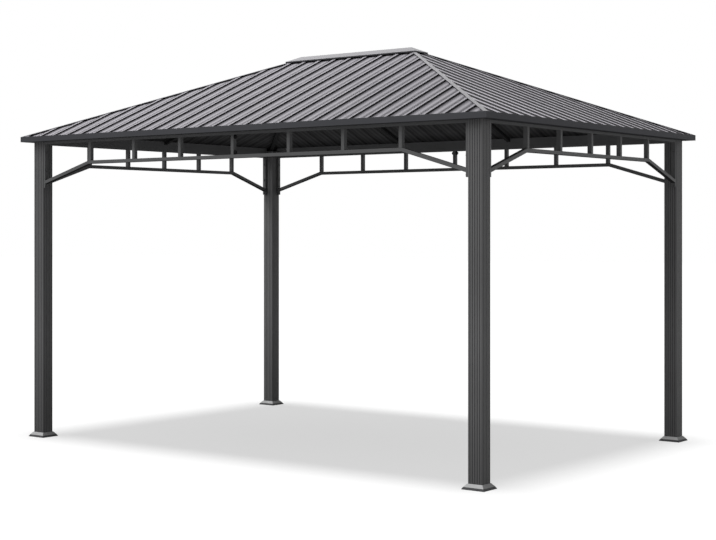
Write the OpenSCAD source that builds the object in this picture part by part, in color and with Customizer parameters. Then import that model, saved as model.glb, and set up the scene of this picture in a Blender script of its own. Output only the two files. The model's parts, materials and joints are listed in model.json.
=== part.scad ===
// Garden gazebo: four fluted posts, welded truss frames and a hipped roof of ribbed metal sheet

/* [Roof] */
// Length of the roof over its edge trim
roof_l = 4000; // [3700:10:4400]
// Width of the roof over its edge trim
roof_w = 3000; // [2800:10:3200]
// Pitch of all four slopes in degrees
roof_pitch = 22.1; // [18:0.1:26]
// Height of the underside of the edge trim
eave_z = 2204; // [2100:1:2400]
// Height of the edge trim
trim_h = 38.5; // [34:0.5:50]
// Thickness of the edge trim
trim_t = 3; // [2:0.5:4]
// Drop of the sheet pans below the top of the edge trim
pan_drop = 13; // [11:0.5:16]
// Thickness of the roof sheet
sheet_t = 2; // [1:0.5:3]
// Spacing of the ribs
rib_pitch = 140; // [110:1:180]
// Height of a rib above the pan
rib_h = 9; // [7:0.5:14]
// Width of the flat top of a rib
rib_top_w = 26; // [20:1:44]
// Sideways run of a rib flank
rib_run = 7; // [4:0.5:12]
// Sideways place of the ribs on the long slopes
rib_shift_long = 12; // [-60:0.5:60]
// Sideways place of the ribs on the short slopes
rib_shift_short = 48; // [-60:0.5:60]
// Height of the seam along one edge of each rib top
seam_h = 1.5; // [1:0.5:3]
// Width of the seam along one edge of each rib top
seam_w = 3.5; // [2.5:0.5:6]

/* [Caps] */
// Width of a hip cap wing on each side of the hip
hip_wing = 15; // [12:1:30]
// Thickness of the hip and ridge caps
cap_t = 2; // [1.5:0.5:3]
// Width of the ridge cap
ridge_cap_w = 170; // [150:1:190]
// Rise of the ridge cap above its lip
ridge_cap_rise = 38; // [35:1:50]
// Height of the ridge cap lip
ridge_cap_lip = 9; // [7:0.5:14]

/* [Posts] */
// Width of a post
post_w = 100; // [90:1:104]
// Distance of the post centres in from the roof edge
post_inset = 120; // [110:1:160]
// Corner radius of a post
post_r = 8; // [5:0.5:12]
// Radius of the flutes
flute_r = 2.75; // [1.5:0.25:3.25]
// Number of flutes on each face
flute_n = 5; // [3:1:6]
// Width of a foot cover at the floor
cover_w = 155; // [150:1:180]
// Height of the flared lip of a foot cover
cover_lip = 14.5; // [12:0.5:20]
// Inward lean of the flared lip of a foot cover
cover_flare = 8; // [4:1:10]
// Height of a foot cover
cover_h = 34; // [30:1:50]
// Thickness of a base plate
plate_t = 6; // [4:1:8]
// Radius of the anchor holes
anchor_r = 5.5; // [4:0.5:6]

/* [Truss] */
// Width of the truss tube in the plane of its frame
tube_w = 25; // [20:1:30]
// Depth of the truss tube across its frame
tube_d = 31; // [24:1:40]
// Distance of the truss face in from the outer post face
truss_inset = 5; // [3:1:30]
// Height of the underside of the eave beam
beam_z = 2186; // [2150:1:2190]
// Height of the underside of the lower chord
chord_z = 2027; // [1980:1:2050]
// Distance from the post face to the bend of the lower chord on the long sides
brace_run_long = 470; // [400:5:520]
// Distance from the post face to the bend of the lower chord on the short sides
brace_run_short = 455; // [400:5:520]
// Drop of the brace between the bend and the post
brace_drop = 136; // [110:1:170]
// Thickness of the end stile on the post
stile_t = 16; // [10:1:20]
// Length of the end stile below the eave beam
stile_h = 325; // [320:1:400]
// Number of struts on the long sides
strut_n_long = 7; // [5:2:9]
// Distance from the middle strut to the next one on the long sides
strut_mid_long = 475; // [440:5:500]
// Number of struts on the short sides
strut_n_short = 5; // [5:2:7]
// Distance from the middle strut to the next one on the short sides
strut_mid_short = 430; // [280:5:450]

/* [Hidden] */
$fn = 48;
half_l = roof_l / 2;
half_w = roof_w / 2;
run = half_w;
ridge_half = half_l - half_w;
tp = tan(roof_pitch);
cp = cos(roof_pitch);
hip_tilt = atan(tp / sqrt(2));
hip_fall = acos(sin(hip_tilt) * sin(roof_pitch) / sqrt(2) + cos(hip_tilt) * cp);
pan_z = eave_z + trim_h - pan_drop;
post_x = half_l - post_inset;
post_y = half_w - post_inset;
post_top = pan_z + (post_inset - post_w / 2) * tp - sheet_t / cp - 12;
beam_out = post_inset - post_w / 2 + truss_inset;
hub_f = 50;
hub_h = 36;
rafter_w = 30;
rafter_d = 25;
fit = 0.3;
wall = 5;
spigot_w = post_w - 2 * wall - 2 * fit;
anchor_pitch = post_w + 16;
sheet_stop = 32;
sheet_gap = 3;
stem_w = 3;

// Heights over a point that lies s in from the roof edge
function pan_under(s) = pan_z + s * tp - sheet_t / cp;
function rib_crest(s) = pan_z + s * tp + (rib_h + seam_h) / cp;

hip_rafter_top = pan_under(run) - (rafter_w / 2 * tan(hip_fall) + fit) / cos(hip_tilt);

// Square with rounded corners about the origin
module round_square(w, d, r) {
  square([w - 2 * r, d], center = true);
  square([w, d - 2 * r], center = true);
  for (x = [-1, 1], y = [-1, 1]) translate([x * (w / 2 - r), y * (d / 2 - r)]) circle(r);
}

// Side of the gazebo: 0 front, 1 right, 2 back, 3 left, each drawn as the front
module on_side(k) {
  rotate([0, 0, 90 * k]) children();
}

// Hip at angle a, with x running down the hip from the end of the ridge
module on_hip(a) {
  translate([cos(a) > 0 ? ridge_half : -ridge_half, 0, 0]) rotate([0, 0, a]) children();
}

// Bar with rounded edges along x from x0 to x1
module bar_x(x0, x1, w, h) {
  translate([x0, 0, 0]) rotate([90, 0, 90]) linear_extrude(x1 - x0) round_square(w, h, 2);
}

// Fluted hollow post with a welded top plate
module post_outline() {
  difference() {
    round_square(post_w, post_w, post_r);
    for (k = [0 : 3], i = [0 : flute_n - 1])
      rotate(90 * k)
        translate([(i - (flute_n - 1) / 2) * post_w / (flute_n + 1), post_w / 2])
          circle(flute_r, $fn = 24);
  }
}

module post(sx, sy) {
  color([0.25, 0.26, 0.28])
  translate([sx * post_x, sy * post_y, plate_t]) {
    linear_extrude(post_top - plate_t - 4) difference() {
      post_outline();
      round_square(post_w - 2 * wall, post_w - 2 * wall, 5);
    }
    translate([0, 0, post_top - plate_t - 4]) linear_extrude(4) post_outline();
  }
}

// Base plate with four anchor holes and a spigot that fills the post
module base_plate(sx, sy) {
  color([0.62, 0.63, 0.64])
  translate([sx * post_x, sy * post_y, 0]) {
    difference() {
      linear_extrude(plate_t) round_square(cover_w - 14, cover_w - 14, 6);
      for (x = [-1, 1], y = [-1, 1])
        translate([x * anchor_pitch / 2, y * anchor_pitch / 2, -1]) cylinder(r = anchor_r, h = plate_t + 2);
    }
    linear_extrude(plate_t + 90) difference() {
      round_square(spigot_w, spigot_w, 5);
      round_square(spigot_w - 6, spigot_w - 6, 3);
    }
  }
}

// Pitched collar round the foot of a post, with a flared lip
module collar_block(w, lip, h, top) {
  m = w / 2 - cover_flare;
  outline = [[-w / 2, 0], [w / 2, 0], [w / 2, 2], [m, lip], [top / 2, h],
    [-top / 2, h], [-m, lip], [-w / 2, 2]];
  intersection() {
    translate([0, w / 2, 0]) rotate([90, 0, 0]) linear_extrude(w) polygon(outline);
    translate([-w / 2, 0, 0]) rotate([90, 0, 90]) linear_extrude(w) polygon(outline);
  }
}

module foot_cover(sx, sy) {
  color([0.36, 0.37, 0.39])
  translate([sx * post_x, sy * post_y, 0]) difference() {
    collar_block(cover_w, cover_lip, cover_h, post_w + 4);
    translate([0, 0, -2]) collar_block(cover_w - 4, cover_lip + 1, cover_h, post_w);
    translate([0, 0, -1]) linear_extrude(cover_h + 2) round_square(post_w + 2 * fit, post_w + 2 * fit, post_r);
  }
}

// Eave beam: hollow profile with a top that follows the roof and two grooves inside
module eave_beam(k, hl, ho) {
  so = beam_out;
  si = beam_out + tube_d;
  x1 = hl - post_inset - post_w / 2;
  color([0.24, 0.25, 0.27])
  on_side(k) translate([-x1, 0, 0]) rotate([90, 0, 90]) linear_extrude(2 * x1) difference() {
    polygon([[so - ho, beam_z], [si - ho, beam_z],
      [si - ho, pan_under(si) - fit], [so - ho, pan_under(so) - fit]]);
    polygon([[so - ho + 2, beam_z + 2], [si - ho - 3.2, beam_z + 2],
      [si - ho - 3.2, pan_under(si) - fit - 4], [so - ho + 2, pan_under(so) - fit - 2]]);
    for (z = [beam_z + 24, beam_z + 50]) translate([si - ho - 1.2, z]) square([3, 4]);
  }
}

// Lower chord between the two bends
module lower_chord(k, hl, ho, brace_run) {
  x1 = hl - post_inset - post_w / 2 - brace_run;
  color([0.27, 0.28, 0.3])
  on_side(k) translate([0, beam_out + tube_d / 2 - ho, chord_z + tube_w / 2])
    bar_x(-x1, x1, tube_d, tube_w);
}

// Sloping braces from the bends down to the end stiles
module braces(k, hl, ho, brace_run) {
  x1 = hl - post_inset - post_w / 2;
  reach = brace_run - stile_t;
  a = atan(brace_drop / reach);
  color([0.27, 0.28, 0.3])
  on_side(k) for (m = [0, 1]) mirror([m, 0, 0])
    intersection() {
      translate([x1 - brace_run, beam_out + tube_d / 2 - ho, chord_z + tube_w / 2 - 0.6])
        rotate([0, a, 0]) bar_x(-tube_w, reach + 2 * tube_w, tube_d, tube_w);
      translate([x1 - brace_run, -ho, chord_z - 2 * brace_drop])
        cube([reach, ho, 3 * brace_drop]);
    }
}

// Upright struts between the lower chord and the eave beam, even beside the two middle bays
module struts(k, hl, ho, brace_run, n, mid) {
  x1 = hl - post_inset - post_w / 2 - brace_run - tube_w / 2;
  m = (n - 1) / 2;
  color([0.27, 0.28, 0.3])
  on_side(k) for (i = [-m : m])
    translate([i == 0 ? 0 : sign(i) * (mid + (abs(i) - 1) * (x1 - mid) / (m - 1)),
      beam_out + tube_d / 2 - ho, chord_z + tube_w])
      linear_extrude(beam_z - chord_z - tube_w) round_square(tube_w, tube_d, 2);
}

// End stiles that fasten each truss frame to its posts
module stiles(k, hl, ho) {
  x1 = hl - post_inset - post_w / 2 - stile_t / 2;
  on_side(k) for (m = [-1, 1])
    translate([m * x1, beam_out + tube_d / 2 - ho, beam_z - stile_h])
      linear_extrude(stile_h) round_square(stile_t, tube_d, 2);
}

module end_stiles() {
  color([0.27, 0.28, 0.3]) {
    for (k = [0, 2]) stiles(k, half_l, half_w);
    for (k = [1, 3]) stiles(k, half_w, half_l);
  }
}

// Hip rafters from the post tops to the ridge hubs
module hip_rafters() {
  far = (run - post_inset) * sqrt(2) + post_w * 0.58;
  color([0.22, 0.23, 0.25])
  for (a = [-45, 45, -135, 135]) on_hip(a)
    intersection() {
      translate([0, 0, hip_rafter_top]) rotate([0, hip_tilt, 0])
        translate([0, 0, -rafter_d / 2 - 2]) bar_x(-20, 2 * run, rafter_w, rafter_d + 4);
      translate([hub_f, -rafter_w, post_top]) cube([far - hub_f, 2 * rafter_w, 2 * run]);
    }
}

// Rafters under the slopes, at the ends of the ridge
module slope_rafter(ho, x) {
  s0 = beam_out + tube_d;
  s1 = run - hub_f;
  translate([x, -ho, pan_z])
    intersection() {
      rotate([roof_pitch, 0, 0]) translate([0, 0, -sheet_t - fit - rafter_d / 2]) rotate([0, 0, 90])
        bar_x(-100, 2 * run, rafter_w, rafter_d);
      translate([-rafter_w, s0, -run]) cube([2 * rafter_w, s1 - s0, 3 * run]);
    }
}

module slope_rafters() {
  color([0.22, 0.23, 0.25]) {
    for (k = [0, 2], x = [-ridge_half, ridge_half]) on_side(k) slope_rafter(half_w, x);
    for (k = [1, 3]) on_side(k) slope_rafter(half_l, 0);
  }
}

// Ridge beam with an eight-sided hub at each end
module ridge_beam() {
  z1 = pan_under(run - hub_f) - 2 * fit;
  color([0.22, 0.23, 0.25])
  translate([0, 0, z1 - hub_h]) {
    linear_extrude(hub_h) square([2 * ridge_half, 40], center = true);
    for (m = [-1, 1]) translate([m * ridge_half, 0, 0]) rotate([0, 0, 22.5])
      cylinder(r = hub_f / cos(22.5), h = hub_h, $fn = 8);
  }
}

// Cross-section of the ribbed sheet over a width of 2 * hw, with a seam on each rib
module rib_profile(hw) {
  n = ceil(hw / rib_pitch) + 1;
  h = rib_top_w / 2;
  crest = [for (i = [-n : n]) let (x = i * rib_pitch) each [
    [x - h - rib_run, 0], [x - h, rib_h], [x - h, rib_h + seam_h], [x - h + seam_w, rib_h + seam_h],
    [x - h + seam_w, rib_h], [x + h, rib_h], [x + h + rib_run, 0]]];
  under = [for (i = [n : -1 : -n]) let (x = i * rib_pitch) each [
    [x + h + rib_run, -sheet_t], [x + h, rib_h - sheet_t],
    [x - h, rib_h - sheet_t], [x - h - rib_run, -sheet_t]]];
  polygon(concat(crest, under));
}

// Ribbed sheet of one slope, cut to its outline in plan
module slope_sheet(hl, ho, shift, outline) {
  up = run + 60;
  intersection() {
    translate([0, up - ho, pan_z + up * tp]) rotate([90 + roof_pitch, 0, 0])
      linear_extrude((up + 100) / cp) translate([shift, 0]) rib_profile(hl);
    translate([0, 0, eave_z - 100]) linear_extrude(2 * run) polygon(outline);
  }
}

module long_sheet(k) {
  y0 = trim_t + 0.2;
  x0 = half_l - y0 - sheet_gap;
  x1 = ridge_half + sheet_stop - sheet_gap;
  color([0.5, 0.5, 0.53])
  on_side(k) slope_sheet(half_l, half_w, rib_shift_long,
    [[-x0, y0 - half_w], [x0, y0 - half_w], [x1, -sheet_stop], [-x1, -sheet_stop]]);
}

module short_sheet(k) {
  y0 = trim_t + 0.2;
  x0 = half_w - y0 - sheet_gap;
  x1 = sheet_stop - sheet_gap;
  y1 = -ridge_half - sheet_stop;
  color([0.5, 0.5, 0.53])
  on_side(k) slope_sheet(half_w, half_l, rib_shift_short,
    [[-x0, y0 - half_l], [x0, y0 - half_l], [x1, y1], [-x1, y1]]);
}

// Edge trim: an angle with its foot on the eave beam, mitred at the corners
module fascia(k, hl, ho) {
  d = beam_out;
  color([0.2, 0.21, 0.23])
  on_side(k) difference() {
    intersection() {
      translate([-hl, 0, 0]) rotate([90, 0, 90]) linear_extrude(2 * hl)
        polygon([[-ho, eave_z], [d - ho, eave_z], [d - ho, eave_z + trim_t], [trim_t - ho, eave_z + trim_t],
          [trim_t - ho, eave_z + trim_h], [-ho, eave_z + trim_h]]);
      translate([0, 0, eave_z - 10]) linear_extrude(trim_h + 20)
        polygon([[-hl, -ho], [hl, -ho], [hl - d - 5, d + 5 - ho], [d + 5 - hl, d + 5 - ho]]);
    }
    for (m = [-1, 1]) translate([m * (hl - post_inset), post_inset - ho, eave_z - 10])
      linear_extrude(trim_h + 20) square(post_w + 2 * fit, center = true);
  }
}

// Folded caps over the four hips, seated on the rib tops, with a stem between the sheets
module hip_caps() {
  drop = hip_wing * tan(hip_fall);
  seat = rib_crest(run) + fit;
  stem_h = (seat - hip_rafter_top) * cos(hip_tilt) - fit;
  x0 = ridge_cap_w / 2 * sqrt(2) - 35;
  x1 = (run - trim_t - 1) * sqrt(2);
  color([0.48, 0.48, 0.5])
  for (a = [-45, 45, -135, 135]) intersection() {
    on_hip(a) {
      intersection() {
        translate([0, 0, seat]) rotate([0, hip_tilt, 0]) rotate([90, 0, 90])
          linear_extrude(2 * run) polygon([[-hip_wing, -drop], [0, 0], [hip_wing, -drop],
            [hip_wing, cap_t - drop], [0, cap_t], [-hip_wing, cap_t - drop]]);
        translate([x0, -2 * hip_wing, 0]) cube([2 * run, 4 * hip_wing, 3 * run]);
      }
      intersection() {
        translate([0, 0, seat]) rotate([0, hip_tilt, 0]) translate([-run, -stem_w / 2, -stem_h])
          cube([3 * run, stem_w, stem_h + cap_t / 2]);
        translate([x0, -stem_w, 0]) cube([x1 - x0, 2 * stem_w, 3 * run]);
      }
    }
    translate([-half_l, -half_w, 0]) cube([roof_l, roof_w, 3 * run]);
  }
}

// Ridge cap: a low hipped lid, open below
module lid_block(w, lip, rise) {
  l = 2 * ridge_half + w;
  intersection() {
    translate([-l / 2, 0, 0]) rotate([90, 0, 90]) linear_extrude(l)
      polygon([[-w / 2, 0], [w / 2, 0], [w / 2, lip], [0, lip + rise], [-w / 2, lip]]);
    translate([0, w / 2, 0]) rotate([90, 0, 0]) linear_extrude(w)
      polygon([[-l / 2, 0], [l / 2, 0], [l / 2, lip], [ridge_half, lip + rise], [-ridge_half, lip + rise], [-l / 2, lip]]);
  }
}

module ridge_cap() {
  seat = rib_crest(run - ridge_cap_w / 2 + cap_t) + cap_t / cos(hip_tilt) + 2 * fit;
  color([0.5, 0.5, 0.52])
  translate([0, 0, seat]) difference() {
    lid_block(ridge_cap_w, ridge_cap_lip, ridge_cap_rise);
    translate([0, 0, -cap_t]) lid_block(ridge_cap_w - 2 * cap_t, ridge_cap_lip + cap_t / 2, ridge_cap_rise - cap_t / 2);
  }
}

post(-1, -1);  // post_front_left
post(1, -1);  // post_front_right
post(-1, 1);  // post_back_left
post(1, 1);  // post_back_right
base_plate(-1, -1);  // base_plate_front_left
base_plate(1, -1);  // base_plate_front_right
base_plate(-1, 1);  // base_plate_back_left
base_plate(1, 1);  // base_plate_back_right
foot_cover(-1, -1);  // foot_cover_front_left
foot_cover(1, -1);  // foot_cover_front_right
foot_cover(-1, 1);  // foot_cover_back_left
foot_cover(1, 1);  // foot_cover_back_right
eave_beam(0, half_l, half_w);  // front_eave_beam
eave_beam(2, half_l, half_w);  // back_eave_beam
eave_beam(3, half_w, half_l);  // left_eave_beam
eave_beam(1, half_w, half_l);  // right_eave_beam
lower_chord(0, half_l, half_w, brace_run_long);  // front_lower_chord
lower_chord(2, half_l, half_w, brace_run_long);  // back_lower_chord
lower_chord(3, half_w, half_l, brace_run_short);  // left_lower_chord
lower_chord(1, half_w, half_l, brace_run_short);  // right_lower_chord
braces(0, half_l, half_w, brace_run_long);  // front_braces
braces(2, half_l, half_w, brace_run_long);  // back_braces
braces(3, half_w, half_l, brace_run_short);  // left_braces
braces(1, half_w, half_l, brace_run_short);  // right_braces
struts(0, half_l, half_w, brace_run_long, strut_n_long, strut_mid_long);  // front_struts
struts(2, half_l, half_w, brace_run_long, strut_n_long, strut_mid_long);  // back_struts
struts(3, half_w, half_l, brace_run_short, strut_n_short, strut_mid_short);  // left_struts
struts(1, half_w, half_l, brace_run_short, strut_n_short, strut_mid_short);  // right_struts
end_stiles();
hip_rafters();
slope_rafters();
ridge_beam();
long_sheet(0);  // front_roof_sheet
long_sheet(2);  // back_roof_sheet
short_sheet(3);  // left_roof_sheet
short_sheet(1);  // right_roof_sheet
fascia(0, half_l, half_w);  // front_fascia
fascia(2, half_l, half_w);  // back_fascia
fascia(3, half_w, half_l);  // left_fascia
fascia(1, half_w, half_l);  // right_fascia
hip_caps();
ridge_cap();
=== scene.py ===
import json
import math

import bmesh
import bpy
from mathutils import Matrix, Vector


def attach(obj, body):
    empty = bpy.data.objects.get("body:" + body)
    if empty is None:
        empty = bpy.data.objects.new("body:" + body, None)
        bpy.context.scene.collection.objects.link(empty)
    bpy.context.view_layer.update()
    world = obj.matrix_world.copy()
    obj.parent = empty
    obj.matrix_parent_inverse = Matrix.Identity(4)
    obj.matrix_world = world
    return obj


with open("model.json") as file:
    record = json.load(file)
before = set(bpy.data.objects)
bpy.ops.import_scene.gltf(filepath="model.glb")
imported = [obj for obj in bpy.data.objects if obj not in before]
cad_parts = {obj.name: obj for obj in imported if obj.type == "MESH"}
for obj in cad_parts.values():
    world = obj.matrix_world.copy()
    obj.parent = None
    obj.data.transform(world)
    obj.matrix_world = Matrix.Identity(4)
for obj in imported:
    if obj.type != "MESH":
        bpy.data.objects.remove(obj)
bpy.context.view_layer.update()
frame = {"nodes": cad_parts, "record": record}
scene = bpy.context.scene
nodes = frame["nodes"]
slotOf = {s["node"]: s["material_slot"] for s in frame["record"]["subparts"]}
print("frame loaded:", len(nodes), "nodes")


# small helpers for shader trees

def addNode(tree, kind, x, y, **values):
    n = tree.nodes.new(kind)
    n.location = (x, y)
    for key, value in values.items():
        setattr(n, key, value)
    return n


def setIn(node, **values):
    for key, value in values.items():
        node.inputs[key.replace("_", " ")].default_value = value


def newGroup(name, inputs, outputs):
    tree = bpy.data.node_groups.new(name, "ShaderNodeTree")
    for label, kind, value in inputs:
        s = tree.interface.new_socket(label, in_out="INPUT", socket_type=kind)
        s.default_value = value
    for label, kind in outputs:
        tree.interface.new_socket(label, in_out="OUTPUT", socket_type=kind)
    return tree, addNode(tree, "NodeGroupInput", -900, 0), addNode(tree, "NodeGroupOutput", 700, 0)


def noiseOn(tree, vector, x, y, scale=5.0, detail=4.0, rough=0.55):
    n = addNode(tree, "ShaderNodeTexNoise", x, y)
    setIn(n, Scale=scale, Detail=detail, Roughness=rough)
    tree.links.new(vector, n.inputs["Vector"])
    return n


def rampOn(tree, value, x, y, low, high, start=0.0, end=1.0):
    n = addNode(tree, "ShaderNodeMapRange", x, y)
    setIn(n, From_Min=low, From_Max=high, To_Min=start, To_Max=end)
    tree.links.new(value, n.inputs["Value"])
    return n


def mathOn(tree, operation, a, b, x, y):
    n = addNode(tree, "ShaderNodeMath", x, y, operation=operation)
    for i, v in enumerate((a, b)):
        if isinstance(v, (int, float)):
            n.inputs[i].default_value = v
        else:
            tree.links.new(v, n.inputs[i])
    return n


def mixOn(tree, factor, a, b, x, y, blend="MIX"):
    n = addNode(tree, "ShaderNodeMix", x, y, data_type="RGBA", blend_type=blend)
    for label, v in (("Factor", factor), ("A", a), ("B", b)):
        if isinstance(v, tuple):
            n.inputs[label].default_value = (*v, 1)
        else:
            tree.links.new(v, n.inputs[label])
    return n.outputs["Result"]


# powder coat: fine orange peel plus a slow change of tone
coatSet = dict(slow=2.3, tone=(0.3, 0.7), bumpDepth=0.0008)


def buildCoatGroup():
    tree, gin, gout = newGroup(
        "powderCoat",
        [("Vector", "NodeSocketVector", (0, 0, 0)), ("Grain", "NodeSocketFloat", 900.0)],
        [("Height", "NodeSocketFloat"), ("Tone", "NodeSocketFloat")])
    fine = noiseOn(tree, gin.outputs["Vector"], -500, 200, detail=2.0)
    tree.links.new(gin.outputs["Grain"], fine.inputs["Scale"])
    slow = noiseOn(tree, gin.outputs["Vector"], -500, -150, scale=coatSet["slow"], detail=5.0)
    tone = rampOn(tree, slow.outputs["Fac"], -200, -150, *coatSet["tone"])
    tree.links.new(fine.outputs["Fac"], gout.inputs["Height"])
    tree.links.new(tone.outputs["Result"], gout.inputs["Tone"])
    return tree


# dust in patches that fades out with height, over an even film of the given strength
dustSet = dict(patch=14.0, soft=(0.38, 0.72))


def buildDustGroup():
    tree, gin, gout = newGroup(
        "settledDust",
        [("Vector", "NodeSocketVector", (0, 0, 0)), ("Reach", "NodeSocketFloat", 0.3),
         ("Film", "NodeSocketFloat", 0.0)],
        [("Mask", "NodeSocketFloat")])
    split = addNode(tree, "ShaderNodeSeparateXYZ", -650, 100)
    tree.links.new(gin.outputs["Vector"], split.inputs[0])
    height = mathOn(tree, "DIVIDE", split.outputs["Z"], gin.outputs["Reach"], -450, 100)
    low = rampOn(tree, height.outputs[0], -250, 100, 1.0, 0.0)
    patch = noiseOn(tree, gin.outputs["Vector"], -450, -200, scale=dustSet["patch"], detail=6.0, rough=0.6)
    soft = rampOn(tree, patch.outputs["Fac"], -250, -200, *dustSet["soft"])
    film = mathOn(tree, "MAXIMUM", soft.outputs["Result"], gin.outputs["Film"], -50, -200)
    both = mathOn(tree, "MULTIPLY", low.outputs["Result"], film.outputs[0], 150, 0)
    tree.links.new(both.outputs[0], gout.inputs["Mask"])
    return tree


# faint runs down a roof sheet: noise pulled long down the slope
rainSet = dict(soft=(0.32, 0.7), tint=(0.86, 0.86, 0.87))


def buildRainGroup():
    tree, gin, gout = newGroup(
        "rainRuns",
        [("Vector", "NodeSocketVector", (0, 0, 0)), ("Stretch", "NodeSocketVector", (1, 1, 1))],
        [("Mask", "NodeSocketFloat")])
    pull = addNode(tree, "ShaderNodeVectorMath", -650, 0, operation="MULTIPLY")
    tree.links.new(gin.outputs["Vector"], pull.inputs[0])
    tree.links.new(gin.outputs["Stretch"], pull.inputs[1])
    runs = noiseOn(tree, pull.outputs[0], -400, 0, scale=1.0, detail=5.0, rough=0.6)
    soft = rampOn(tree, runs.outputs["Fac"], -150, 0, *rainSet["soft"])
    tree.links.new(soft.outputs["Result"], gout.inputs["Mask"])
    return tree


# painted shade on the pans of a roof sheet, deep at the foot of each rib and gone before the next
paintedRibShadeSet = dict(pitch=0.14, ribTop=0.0135, right=(0.062, 0.024), left=(-0.068, -0.040))


def buildPaintedRibShadeGroup():
    tree, gin, gout = newGroup(
        "ribShading",
        [("Vector", "NodeSocketVector", (0, 0, 0)), ("Right", "NodeSocketVector", (1, 0, 0)),
         ("Shift", "NodeSocketFloat", 0.0)],
        [("Mask", "NodeSocketFloat")])
    along = addNode(tree, "ShaderNodeVectorMath", -700, 0, operation="DOT_PRODUCT")
    tree.links.new(gin.outputs["Vector"], along.inputs[0])
    tree.links.new(gin.outputs["Right"], along.inputs[1])
    fromRib = mathOn(tree, "SUBTRACT", along.outputs["Value"], gin.outputs["Shift"], -500, 0)
    folded = mathOn(tree, "WRAP", fromRib.outputs[0], paintedRibShadeSet["pitch"] / 2, -300, 0)
    folded.inputs[2].default_value = -paintedRibShadeSet["pitch"] / 2
    away = folded.outputs[0]
    rightFade = rampOn(tree, away, -100, 200, *paintedRibShadeSet["right"])
    leftFade = rampOn(tree, away, -100, -150, *paintedRibShadeSet["left"])
    offRight = mathOn(tree, "GREATER_THAN", away, paintedRibShadeSet["ribTop"], -100, 400)
    offLeft = mathOn(tree, "LESS_THAN", away, -paintedRibShadeSet["ribTop"], -100, -400)
    onRight = mathOn(tree, "MULTIPLY", rightFade.outputs["Result"], offRight.outputs[0], 150, 250)
    onLeft = mathOn(tree, "MULTIPLY", leftFade.outputs["Result"], offLeft.outputs[0], 150, -200)
    both = mathOn(tree, "ADD", onRight.outputs[0], onLeft.outputs[0], 400, 0)
    tree.links.new(both.outputs[0], gout.inputs["Mask"])
    return tree


# which way a face looks: steeper than the slopes of the roof, to a short side, up, or down
facingSet = dict(steep=(0.85, 0.6), sideways=(0.3, 0.5), up=0.8, down=-0.1)


def buildFacingGroup():
    tree, gin, gout = newGroup(
        "faceFacing",
        [("Normal", "NodeSocketVector", (0, 0, 1))],
        [("Steep", "NodeSocketFloat"), ("Sideways", "NodeSocketFloat"), ("Up", "NodeSocketFloat"),
         ("Down", "NodeSocketFloat")])
    split = addNode(tree, "ShaderNodeSeparateXYZ", -500, 0)
    tree.links.new(gin.outputs["Normal"], split.inputs[0])
    steep = rampOn(tree, split.outputs["Z"], -200, 150, *facingSet["steep"])
    across = mathOn(tree, "ABSOLUTE", split.outputs["X"], 0.0, -200, 350)
    sideways = rampOn(tree, across.outputs[0], 0, 350, *facingSet["sideways"])
    up = mathOn(tree, "GREATER_THAN", split.outputs["Z"], facingSet["up"], -200, -150)
    down = mathOn(tree, "LESS_THAN", split.outputs["Z"], facingSet["down"], -200, -350)
    tree.links.new(steep.outputs["Result"], gout.inputs["Steep"])
    tree.links.new(sideways.outputs["Result"], gout.inputs["Sideways"])
    tree.links.new(up.outputs[0], gout.inputs["Up"])
    tree.links.new(down.outputs[0], gout.inputs["Down"])
    return tree


# painted shade on the underside of a roof sheet: stripes along the ribs, and shade that deepens toward the
# eaves
undersideShadeSet = dict(stripe=(0.66, 1.0), rise=(0.02, 0.10), shade=(0.3, 1.0))


def buildUndersideShadeGroup():
    tree, gin, gout = newGroup(
        "roofLining",
        [("Vector", "NodeSocketVector", (0, 0, 0)), ("Right", "NodeSocketVector", (1, 0, 0)),
         ("Pitch", "NodeSocketFloat", 0.05), ("Foot", "NodeSocketFloat", 2.0)],
        [("Shade", "NodeSocketFloat")])
    along = addNode(tree, "ShaderNodeVectorMath", -700, 200, operation="DOT_PRODUCT")
    tree.links.new(gin.outputs["Vector"], along.inputs[0])
    tree.links.new(gin.outputs["Right"], along.inputs[1])
    turns = mathOn(tree, "DIVIDE", along.outputs["Value"], gin.outputs["Pitch"], -500, 200)
    angle = mathOn(tree, "MULTIPLY", turns.outputs[0], 2 * math.pi, -300, 200)
    wave = mathOn(tree, "COSINE", angle.outputs[0], 0.0, -100, 200)
    stripe = rampOn(tree, wave.outputs[0], 100, 200, -1.0, 1.0, *undersideShadeSet["stripe"])
    split = addNode(tree, "ShaderNodeSeparateXYZ", -700, -150)
    tree.links.new(gin.outputs["Vector"], split.inputs[0])
    rise = mathOn(tree, "SUBTRACT", split.outputs["Z"], gin.outputs["Foot"], -500, -150)
    fall = rampOn(tree, rise.outputs[0], -100, -150, *undersideShadeSet["rise"], *undersideShadeSet["shade"])
    both = mathOn(tree, "MULTIPLY", stripe.outputs["Result"], fall.outputs["Result"], 350, 0)
    tree.links.new(both.outputs[0], gout.inputs["Shade"])
    return tree


coatGroup = buildCoatGroup()
dustGroup = buildDustGroup()
rainGroup = buildRainGroup()
paintedRibShadeGroup = buildPaintedRibShadeGroup()
facingGroup = buildFacingGroup()
undersideShadeGroup = buildUndersideShadeGroup()
print("shader groups built")
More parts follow.
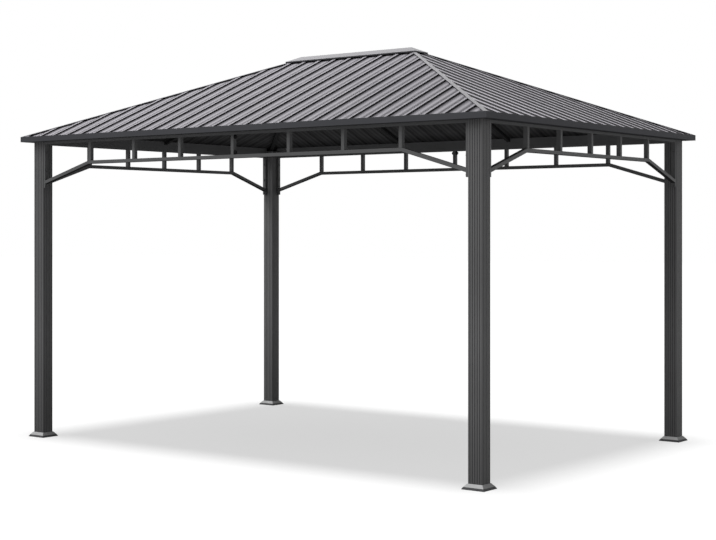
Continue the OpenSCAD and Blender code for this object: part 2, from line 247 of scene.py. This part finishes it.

# one entry per finish: two close tones, gloss, grain of the coat and what lies on it, and the painted shade
# or light on some of its faces
finishes = {
    "post_aluminium": dict(dark=(0.142, 0.142, 0.144), light=(0.164, 0.164, 0.166), rough=(0.45, 0.55),
                           grain=900.0, bump=0.10, dust=0.8, reach=0.8, film=0.7,
                           dustTone=(0.052, 0.052, 0.053), specular=0.15, grooveShadeReach=0.007),
    # the truss's faces that look up and down are darkened as painted shade
    "truss_steel": dict(dark=(0.115, 0.116, 0.118), light=(0.132, 0.133, 0.135), rough=(0.42, 0.52),
                        grain=700.0, bump=0.08, specular=0.15, upperShade=(0.3, 0.3, 0.3),
                        under=(0.032, 0.032, 0.033)),
    # the rafters carry a much darker copy of the steel coat: painted shade under the roof
    "rafter_steel": dict(dark=(0.024, 0.024, 0.025), light=(0.032, 0.032, 0.033), rough=(0.70, 0.80),
                         grain=700.0, bump=0.08, specular=0.02),
    # the trim's underside is darkened as painted shade
    "edge_trim": dict(dark=(0.076, 0.077, 0.085), light=(0.089, 0.090, 0.098), rough=(0.42, 0.52),
                      grain=700.0, bump=0.08, specular=0.03, under=(0.058, 0.058, 0.061)),
    "roof_cap": dict(dark=(0.188, 0.184, 0.196), light=(0.212, 0.208, 0.220), rough=(0.30, 0.38),
                     # the cap's steep edge faces are darkened as painted shade
                     grain=500.0, bump=0.04, specular=0.2, flank=(0.22, 0.22, 0.24)),
    # painted light on the beam faces, which stand in shade; the darker underside is painted shade
    "eave_beam": dict(dark=(0.126, 0.127, 0.130), light=(0.149, 0.150, 0.153), rough=(0.5, 0.6),
                      grain=700.0, bump=0.08, specular=0.12, under=(0.095, 0.096, 0.098)),
    # the cover's faces toward the short sides are darkened as painted shade
    "foot_cover": dict(dark=(0.610, 0.612, 0.616), light=(0.660, 0.662, 0.666), rough=(0.48, 0.54),
                       grain=800.0, bump=0.06, dust=0.3, reach=0.04, film=0.0,
                       dustTone=(0.24, 0.23, 0.215), specular=0.05, sideShade=(0.55, 0.55, 0.55),
                       lip=0.0145, lipTone=(0.095, 0.096, 0.099)),
}

# the eave beams share the slot of the truss and get a lighter copy of its coat, painted light for beams
# that stand in shade
sides = ("front", "back", "left", "right")
finishOf = {side + "_eave_beam": "eave_beam" for side in sides}

# the roof sheets, each with the direction that points right for someone who looks at its slope
sheet = dict(dark=(0.264, 0.255, 0.275), light=(0.296, 0.286, 0.308), rough=(0.46, 0.54), grain=500.0,
             bump=0.04, specular=0.06)
# painted shade: dark rib flanks, and shade on the pans beside the ribs, deep on the long slopes and faint
# on the short
longSheet = dict(sheet, shift=0.012, runs=(9.0, 0.5, 0.5), flank=(0.14, 0.137, 0.15),
                 ribShadeTone=(0.11, 0.106, 0.12))
shortSheet = dict(sheet, shift=0.048, runs=(0.5, 9.0, 0.5), flank=(0.12, 0.12, 0.12),
                  ribShadeTone=(0.80, 0.80, 0.80))
finishes["front_roof_sheet"] = dict(longSheet, right=(1, 0, 0))
finishes["back_roof_sheet"] = dict(longSheet, right=(-1, 0, 0))
finishes["left_roof_sheet"] = dict(shortSheet, right=(0, -1, 0))
finishes["right_roof_sheet"] = dict(shortSheet, right=(0, 1, 0))

# painted shade in the flutes of the posts: the mask is 1 in grooves and corners narrower than the given
# reach
grooveShadeSet = dict(shade=(0.12, 0.12, 0.13), openness=(0.9, 0.5), samples=8)


def grooveShadeMask(tree, reach):
    openness = addNode(tree, "ShaderNodeAmbientOcclusion", -1100, 900, samples=grooveShadeSet["samples"],
                        only_local=True)
    openness.inputs["Distance"].default_value = reach
    return rampOn(tree, openness.outputs["AO"], -900, 900, *grooveShadeSet["openness"]).outputs["Result"]


# matt coat on faces that look down, with the darker tones of the roof's underside and its lower edge; their
# darkness is partly a backing coat and partly painted shade
undersideCoatAndShade = dict(dark=(0.080, 0.080, 0.082), light=(0.108, 0.108, 0.110), rough=0.9, specular=0.0,
               lift=1.2, stripes=paintedRibShadeSet["pitch"] / 3)
sheetFoot = min(v.co.z for v in nodes["front_roof_sheet"].data.vertices)


# tone of the underside of a roof sheet: a darker backing coat under painted shade in stripes and toward the
# eaves
def undersideColour(tree, place, tone, right):
    undersideShadeNode = addNode(tree, "ShaderNodeGroup", -600, -700, node_tree=undersideShadeGroup)
    undersideShadeNode.inputs["Right"].default_value = right
    undersideShadeNode.inputs["Pitch"].default_value = undersideCoatAndShade["stripes"]
    undersideShadeNode.inputs["Foot"].default_value = sheetFoot
    tree.links.new(place, undersideShadeNode.inputs["Vector"])
    plain = mixOn(tree, tone, undersideCoatAndShade["dark"], undersideCoatAndShade["light"], -500, -500)
    return mixOn(tree, undersideShadeNode.outputs["Shade"], (0, 0, 0), plain, -300, -500)


# the faces that look down get a matt coat of their own, in a colour that carries painted shade
def addShadedUnderside(tree, colour, down):
    front = tree.nodes["Principled BSDF"]
    back = addNode(tree, "ShaderNodeBsdfPrincipled", 0, -450)
    tree.links.new(colour, back.inputs["Base Color"])
    back.inputs["Roughness"].default_value = undersideCoatAndShade["rough"]
    back.inputs["Specular IOR Level"].default_value = undersideCoatAndShade["specular"]
    both = addNode(tree, "ShaderNodeMixShader", 300, 0)
    tree.links.new(down, both.inputs["Fac"])
    tree.links.new(front.outputs[0], both.inputs[1])
    tree.links.new(back.outputs[0], both.inputs[2])
    tree.links.new(both.outputs[0], tree.nodes["Material Output"].inputs["Surface"])


# a painted finish from its entry, with the painted shade that the entry asks for
def coatMaterial(name, f):
    mat = bpy.data.materials.new(name)
    mat.use_nodes = True
    tree = mat.node_tree
    bsdf = tree.nodes["Principled BSDF"]
    coord = addNode(tree, "ShaderNodeTexCoord", -1400, 0)
    place = coord.outputs["Object"]
    coat = addNode(tree, "ShaderNodeGroup", -1100, 200, node_tree=coatGroup)
    coat.inputs["Grain"].default_value = f["grain"]
    tree.links.new(place, coat.inputs["Vector"])
    tone = coat.outputs["Tone"]
    facing = addNode(tree, "ShaderNodeGroup", -1100, 600, node_tree=facingGroup)
    tree.links.new(coord.outputs["Normal"], facing.inputs["Normal"])
    colour = mixOn(tree, tone, f["dark"], f["light"], -750, 300)
    if "runs" in f:
        runs = addNode(tree, "ShaderNodeGroup", -1100, -100, node_tree=rainGroup)
        runs.inputs["Stretch"].default_value = f["runs"]
        tree.links.new(place, runs.inputs["Vector"])
        colour = mixOn(tree, runs.outputs["Mask"], colour, rainSet["tint"], -500, 300, "MULTIPLY")
        # painted shade on the pans beside the ribs
        ribShadeNode = addNode(tree, "ShaderNodeGroup", -1100, 900, node_tree=paintedRibShadeGroup)
        ribShadeNode.inputs["Right"].default_value = f["right"]
        ribShadeNode.inputs["Shift"].default_value = f["shift"]
        tree.links.new(place, ribShadeNode.inputs["Vector"])
        colour = mixOn(tree, ribShadeNode.outputs["Mask"], colour, f["ribShadeTone"], -300, 600, "MULTIPLY")
    # painted shade on faces steeper than the roof
    if "flank" in f:
        colour = mixOn(tree, facing.outputs["Steep"], colour, f["flank"], -200, 450, "MULTIPLY")
    # painted shade on faces that look to a short side
    if "sideShade" in f:
        colour = mixOn(tree, facing.outputs["Sideways"], colour, f["sideShade"], -200, 850, "MULTIPLY")
    # painted shade on faces that look up
    if "upperShade" in f:
        colour = mixOn(tree, facing.outputs["Up"], colour, f["upperShade"], -200, 650, "MULTIPLY")
    # painted shade in grooves and narrow corners
    if "grooveShadeReach" in f:
        fluteShade = grooveShadeMask(tree, f["grooveShadeReach"])
        colour = mixOn(tree, fluteShade, colour, grooveShadeSet["shade"], -400, 450, "MULTIPLY")
    if "dust" in f:
        dust = addNode(tree, "ShaderNodeGroup", -1100, -350, node_tree=dustGroup)
        dust.inputs["Reach"].default_value = f["reach"]
        dust.inputs["Film"].default_value = f["film"]
        tree.links.new(place, dust.inputs["Vector"])
        amount = mathOn(tree, "MULTIPLY", dust.outputs["Mask"], f["dust"], -750, -350)
        colour = mixOn(tree, amount.outputs[0], colour, f["dustTone"], -300, 300)
    if "lip" in f:
        split = addNode(tree, "ShaderNodeSeparateXYZ", -1100, 500)
        tree.links.new(place, split.inputs[0])
        low = mathOn(tree, "LESS_THAN", split.outputs["Z"], f["lip"], -750, 500)
        colour = mixOn(tree, low.outputs[0], colour, f["lipTone"], -150, 400)
    tree.links.new(colour, bsdf.inputs["Base Color"])
    gloss = rampOn(tree, tone, -500, 0, 0.0, 1.0, *f["rough"])
    tree.links.new(gloss.outputs["Result"], bsdf.inputs["Roughness"])
    bump = addNode(tree, "ShaderNodeBump", -300, -250)
    setIn(bump, Strength=f["bump"], Distance=coatSet["bumpDepth"])
    tree.links.new(coat.outputs["Height"], bump.inputs["Height"])
    tree.links.new(bump.outputs["Normal"], bsdf.inputs["Normal"])
    bsdf.inputs["Specular IOR Level"].default_value = f["specular"]
    # the underside of a roof sheet: a darker backing coat with painted shade in stripes and toward the
    # eaves
    if "runs" in f:
        addShadedUnderside(tree, undersideColour(tree, place, tone, f["right"]), facing.outputs["Down"])
    # painted shade on faces that look down
    if "under" in f:
        lighter = tuple(undersideCoatAndShade["lift"] * c for c in f["under"])
        addShadedUnderside(tree, mixOn(tree, tone, f["under"], lighter, -300, -500), facing.outputs["Down"])
    return mat


# hot-dip zinc with its spangle, on the base plates
zincSet = dict(spangle=90.0, tone=(0.42, 0.58), rough=(0.32, 0.5), metallic=0.85)


def zincMaterial(name):
    mat = bpy.data.materials.new(name)
    mat.use_nodes = True
    tree = mat.node_tree
    bsdf = tree.nodes["Principled BSDF"]
    coord = addNode(tree, "ShaderNodeTexCoord", -900, 0)
    spangle = addNode(tree, "ShaderNodeTexVoronoi", -650, 0)
    setIn(spangle, Scale=zincSet["spangle"])
    tree.links.new(coord.outputs["Object"], spangle.inputs["Vector"])
    grey = rampOn(tree, spangle.outputs["Color"], -400, 100, 0.0, 1.0, *zincSet["tone"])
    tree.links.new(grey.outputs["Result"], bsdf.inputs["Base Color"])
    dull = rampOn(tree, spangle.outputs["Color"], -400, -150, 0.0, 1.0, *zincSet["rough"])
    tree.links.new(dull.outputs["Result"], bsdf.inputs["Roughness"])
    bsdf.inputs["Metallic"].default_value = zincSet["metallic"]
    return mat


materials = {name: coatMaterial(name, f) for name, f in finishes.items()}
materials["base_steel"] = zincMaterial("base_steel")

for name, obj in nodes.items():
    mat = materials.get(name) or materials[finishOf.get(name, slotOf[name])]
    obj.data.materials.clear()
    obj.data.materials.append(mat)
print("finishes set on", len(nodes), "nodes")


# box of a node in the frame
def boxOf(name):
    obj = nodes[name]
    points = [obj.matrix_world @ v.co for v in obj.data.vertices]
    low = Vector([min(p[i] for p in points) for i in range(3)])
    high = Vector([max(p[i] for p in points) for i in range(3)])
    return low, high


# hex bolts with a washer, head up the z axis, in units of the thread
boltSet = dict(headAcross=1.3, headRise=0.6, washer=0.95, washerRise=0.16, soften=0.06,
               headSides=6, washerSides=24, sharpAngle=0.6)


def boltMesh(size):
    bm = bmesh.new()
    headRadius = boltSet["headAcross"] / math.sqrt(3)
    for radius, rise, low, segments in (
            (boltSet["washer"], boltSet["washerRise"], 0.0, boltSet["washerSides"]),
            (headRadius, boltSet["headRise"], boltSet["washerRise"], boltSet["headSides"])):
        bmesh.ops.create_cone(bm, cap_ends=True, segments=segments, radius1=radius, radius2=radius,
                              depth=rise, matrix=Matrix.Translation((0, 0, low + rise / 2)))
    rims = [e for e in bm.edges if e.is_manifold and e.calc_face_angle() > boltSet["sharpAngle"]]
    bmesh.ops.bevel(bm, geom=rims, offset=boltSet["soften"], affect="EDGES", segments=2, profile=0.5,
                    material=-1)
    bmesh.ops.recalc_face_normals(bm, faces=bm.faces)
    bmesh.ops.scale(bm, vec=(size, size, size), verts=bm.verts)
    mesh = bpy.data.meshes.new("bolt")
    bm.to_mesh(mesh)
    bm.free()
    return mesh


def addBolts(name, places, size, slotName):
    bm = bmesh.new()
    template = boltMesh(size)
    for place, direction in places:
        turn = Vector(direction).to_track_quat("Z", "Y").to_matrix().to_4x4()
        one = template.copy()
        one.transform(Matrix.Translation(place) @ turn)
        bm.from_mesh(one)
        bpy.data.meshes.remove(one)
    bpy.data.meshes.remove(template)
    mesh = bpy.data.meshes.new(name)
    bm.to_mesh(mesh)
    bm.free()
    mesh.materials.append(materials[slotName])
    obj = bpy.data.objects.new(name, mesh)
    scene.collection.objects.link(obj)
    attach(obj, "root")


# bolts through the end stiles into the posts, at heights above the foot of a stile
stileSet = dict(heights=(0.0145, 0.13, 0.265), thread=0.009)


def stileBoltPlaces():
    foot = boxOf("end_stiles")[0].z
    for side in sides:
        low, high = boxOf(side + "_braces")
        along = 0 if side in ("front", "back") else 1
        across = 1 - along
        for end in (low, high):
            for height in stileSet["heights"]:
                place = Vector((0, 0, foot + height))
                place[along] = end[along]
                place[across] = (low[across] + high[across]) / 2
                direction = Vector((0, 0, 0))
                direction[along] = -math.copysign(1, end[along])
                yield place, direction


# bolts that join the two halves of a long frame through its middle strut
jointSet = dict(halfStrut=0.0125, inset=0.0150, thread=0.016)


def jointBoltPlaces():
    for side in ("front", "back"):
        low, high = boxOf(side + "_struts")
        for z in (low.z + jointSet["inset"], high.z - jointSet["inset"]):
            for sign in (-1, 1):
                yield Vector((sign * jointSet["halfStrut"], (low.y + high.y) / 2, z)), Vector((sign, 0, 0))


addBolts("stile_bolts", list(stileBoltPlaces()), stileSet["thread"], "truss_steel")
# the joint bolts wear the rafters' darkened coat, painted shade
addBolts("joint_bolts", list(jointBoltPlaces()), jointSet["thread"], "rafter_steel")
print("bolts added")

# floor and light
floorSet = dict(size=120.0, tone=(0.44, 0.44, 0.44), bounce=(0.32, 0.32, 0.32), glow=0.56, rough=0.9)


def buildFloor():
    bm = bmesh.new()
    bmesh.ops.create_grid(bm, x_segments=1, y_segments=1, size=floorSet["size"] / 2)
    mesh = bpy.data.meshes.new("floor")
    bm.to_mesh(mesh)
    bm.free()
    obj = bpy.data.objects.new("floor", mesh)
    scene.collection.objects.link(obj)
    mat = bpy.data.materials.new("floorPaint")
    mat.use_nodes = True
    tree = mat.node_tree
    bsdf = tree.nodes["Principled BSDF"]
    seen = seenDirectly(tree)
    colour = mixOn(tree, seen, floorSet["bounce"], floorSet["tone"], -150, 100)
    tree.links.new(colour, bsdf.inputs["Base Color"])
    bsdf.inputs["Roughness"].default_value = floorSet["rough"]
    bsdf.inputs["Specular IOR Level"].default_value = 0.0
    glow = mathOn(tree, "MULTIPLY", seen, floorSet["glow"], -150, -200)
    bsdf.inputs["Emission Color"].default_value = (1, 1, 1, 1)
    tree.links.new(glow.outputs[0], bsdf.inputs["Emission Strength"])
    mesh.materials.append(mat)
    return obj


# one where a ray comes from the camera, a reflection or through a clear body
def seenDirectly(tree):
    path = addNode(tree, "ShaderNodeLightPath", -700, -200)
    seen = mathOn(tree, "MAXIMUM", path.outputs["Is Camera Ray"], path.outputs["Is Glossy Ray"], -500, -200)
    through = mathOn(tree, "MAXIMUM", seen.outputs[0], path.outputs["Is Transmission Ray"], -320, -200)
    return through.outputs[0]


worldSet = dict(ambient=0.36)


def buildWorld():
    world = bpy.data.worlds.new("studio")
    scene.world = world
    world.use_nodes = True
    tree = world.node_tree
    sky = tree.nodes["Background"]
    level = rampOn(tree, seenDirectly(tree), -150, 0, 0.0, 1.0, worldSet["ambient"], 1.0)
    sky.inputs["Color"].default_value = (1, 1, 1, 1)
    tree.links.new(level.outputs["Result"], sky.inputs["Strength"])


# a key light from the left for the roof, a wide fill from the front left, a soft light from the right
# for the slope that the key only grazes, and a top light for the floor
def lampSettings(floor):
    covers = [nodes[n] for n in nodes if slotOf[n] == "foot_cover"]
    return {
        "key": dict(azimuth=-85.0, elevation=66.0, strength=2.3, spread=10.0, away=11.0,
                    link="EXCLUDE", linked=[floor] + covers),
        "fill": dict(azimuth=-40.0, elevation=38.0, strength=1.4, spread=50.0,
                     link="EXCLUDE", linked=[floor]),
        "side": dict(azimuth=90.0, elevation=60.0, strength=3.4, spread=50.0,
                     link="INCLUDE", linked=[nodes["right_roof_sheet"]]),
        "top": dict(azimuth=0.0, elevation=88.0, strength=2.5, spread=14.0,
                    link="INCLUDE", linked=[floor]),
    }


sunAway = 12.0  # a sun lights the same from any distance


def buildLamp(name, s):
    a, e = math.radians(s["azimuth"]), math.radians(s["elevation"])
    toLamp = Vector((math.sin(a) * math.cos(e), -math.cos(a) * math.cos(e), math.sin(e)))
    if "away" in s:
        lamp = bpy.data.lights.new(name, "POINT")
        lamp.energy = 4 * math.pi * s["away"] ** 2 * s["strength"]
        lamp.shadow_soft_size = s["away"] * math.tan(math.radians(s["spread"] / 2))
    else:
        lamp = bpy.data.lights.new(name, "SUN")
        lamp.energy = s["strength"]
        lamp.angle = math.radians(s["spread"])
    obj = bpy.data.objects.new(name, lamp)
    obj.rotation_euler = toLamp.to_track_quat("Z", "Y").to_euler()
    obj.location = toLamp * s.get("away", sunAway)
    scene.collection.objects.link(obj)
    receivers = bpy.data.collections.new(name + "Receivers")
    for target in s["linked"]:
        receivers.objects.link(target)
    for entry in receivers.collection_objects:
        entry.light_linking.link_state = s["link"]
    obj.light_linking.receiver_collection = receivers


buildWorld()
for lampName, lampSet in lampSettings(buildFloor()).items():
    buildLamp(lampName, lampSet)
scene.view_settings.view_transform = "Standard"
print("floor and light set")

# level camera, with its focal length and centre in pixels of the picture
cameraSet = dict(place=(6.6405, -9.4015, 1.5389), turn=39.384, focalPx=1546.21, centrePx=(242.66, 230.99),
                 picturePx=(716, 540), sensor=36.0, reach=300)


def buildCamera():
    cam = bpy.data.cameras.new("camera")
    wide, high = cameraSet["picturePx"]
    centreX, centreY = cameraSet["centrePx"]
    cam.sensor_width = cameraSet["sensor"]
    cam.lens = cameraSet["focalPx"] / wide * cameraSet["sensor"]
    cam.shift_x = (wide / 2 - centreX) / wide
    cam.shift_y = (centreY - high / 2) / wide
    cam.clip_end = cameraSet["reach"]
    obj = bpy.data.objects.new("camera", cam)
    obj.location = cameraSet["place"]
    obj.rotation_euler = (math.pi / 2, 0, math.radians(cameraSet["turn"]))
    scene.collection.objects.link(obj)
    scene.camera = obj


buildCamera()
